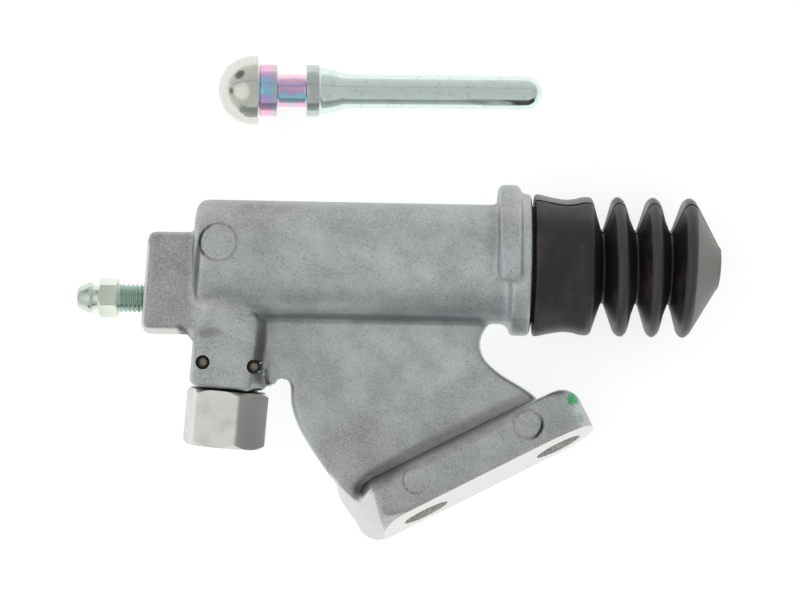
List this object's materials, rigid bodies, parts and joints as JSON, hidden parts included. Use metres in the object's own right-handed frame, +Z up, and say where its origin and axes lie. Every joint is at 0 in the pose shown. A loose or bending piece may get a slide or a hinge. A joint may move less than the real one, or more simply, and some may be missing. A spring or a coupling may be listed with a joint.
{
  "type": "clutch slave cylinder",
  "caption": "Hydraulic clutch slave cylinder: cast barrel with a tilted bolt flange, bleed screw, swivelling pipe union, sprung piston, bellows boot and separate push rod.",
  "frame": {"origin": "middle of the whole part's footprint, on the surface it lies on", "axes": "+X along the bore towards the boot, +Y across the bench towards the push rod, +Z up"},
  "size_m": [0.1482, 0.1122, 0.035],
  "materials": {
    "cast_aluminium": "matt as-cast skin",
    "piston_aluminium": "turned",
    "zinc_steel": "clear zinc plating with a blue and pink tint",
    "machined_steel": "bright machined flats",
    "spring_steel": "dark oiled steel",
    "boot_rubber": "satin moulded rubber",
    "seal_rubber": "smooth rubber"
  },
  "bodies": {
    "casting": {"cylinder_body": "cast_aluminium", "dust_boot": "boot_rubber", "stop_ring": "spring_steel", "roll_pin_left": "spring_steel", "roll_pin_right": "spring_steel", "push_rod": "zinc_steel"},
    "piston_group": {"piston": "piston_aluminium", "primary_cup": "seal_rubber", "secondary_seal": "seal_rubber", "spring_seat": "zinc_steel", "piston_spring": "spring_steel"},
    "bleeder": {"bleed_screw": "zinc_steel"},
    "union": {"pipe_union": "machined_steel", "union_seal_ring": "seal_rubber"}
  },
  "joints": [
    {"name": "piston_slide", "type": "slide", "parent": "casting", "child": "piston_group", "axis": [1, 0, 0], "range_m": [-0.025, 0], "stiffness_N_per_m": 60, "springref_m": 0.02, "deforming": ["piston_spring"]},
    {"name": "bleed_screw_turn", "type": "hinge", "parent": "casting", "child": "bleeder", "pos_m": [-0.05895, -0.00112, 0.0165], "axis": [-1, 0, 0], "range_deg": [0, 360]},
    {"name": "union_swivel", "type": "hinge", "parent": "casting", "child": "union", "pos_m": [-0.03855, -0.01578, 0.0165], "axis": [-0.0698, -0.9976, 0], "continuous": true}
  ]
}
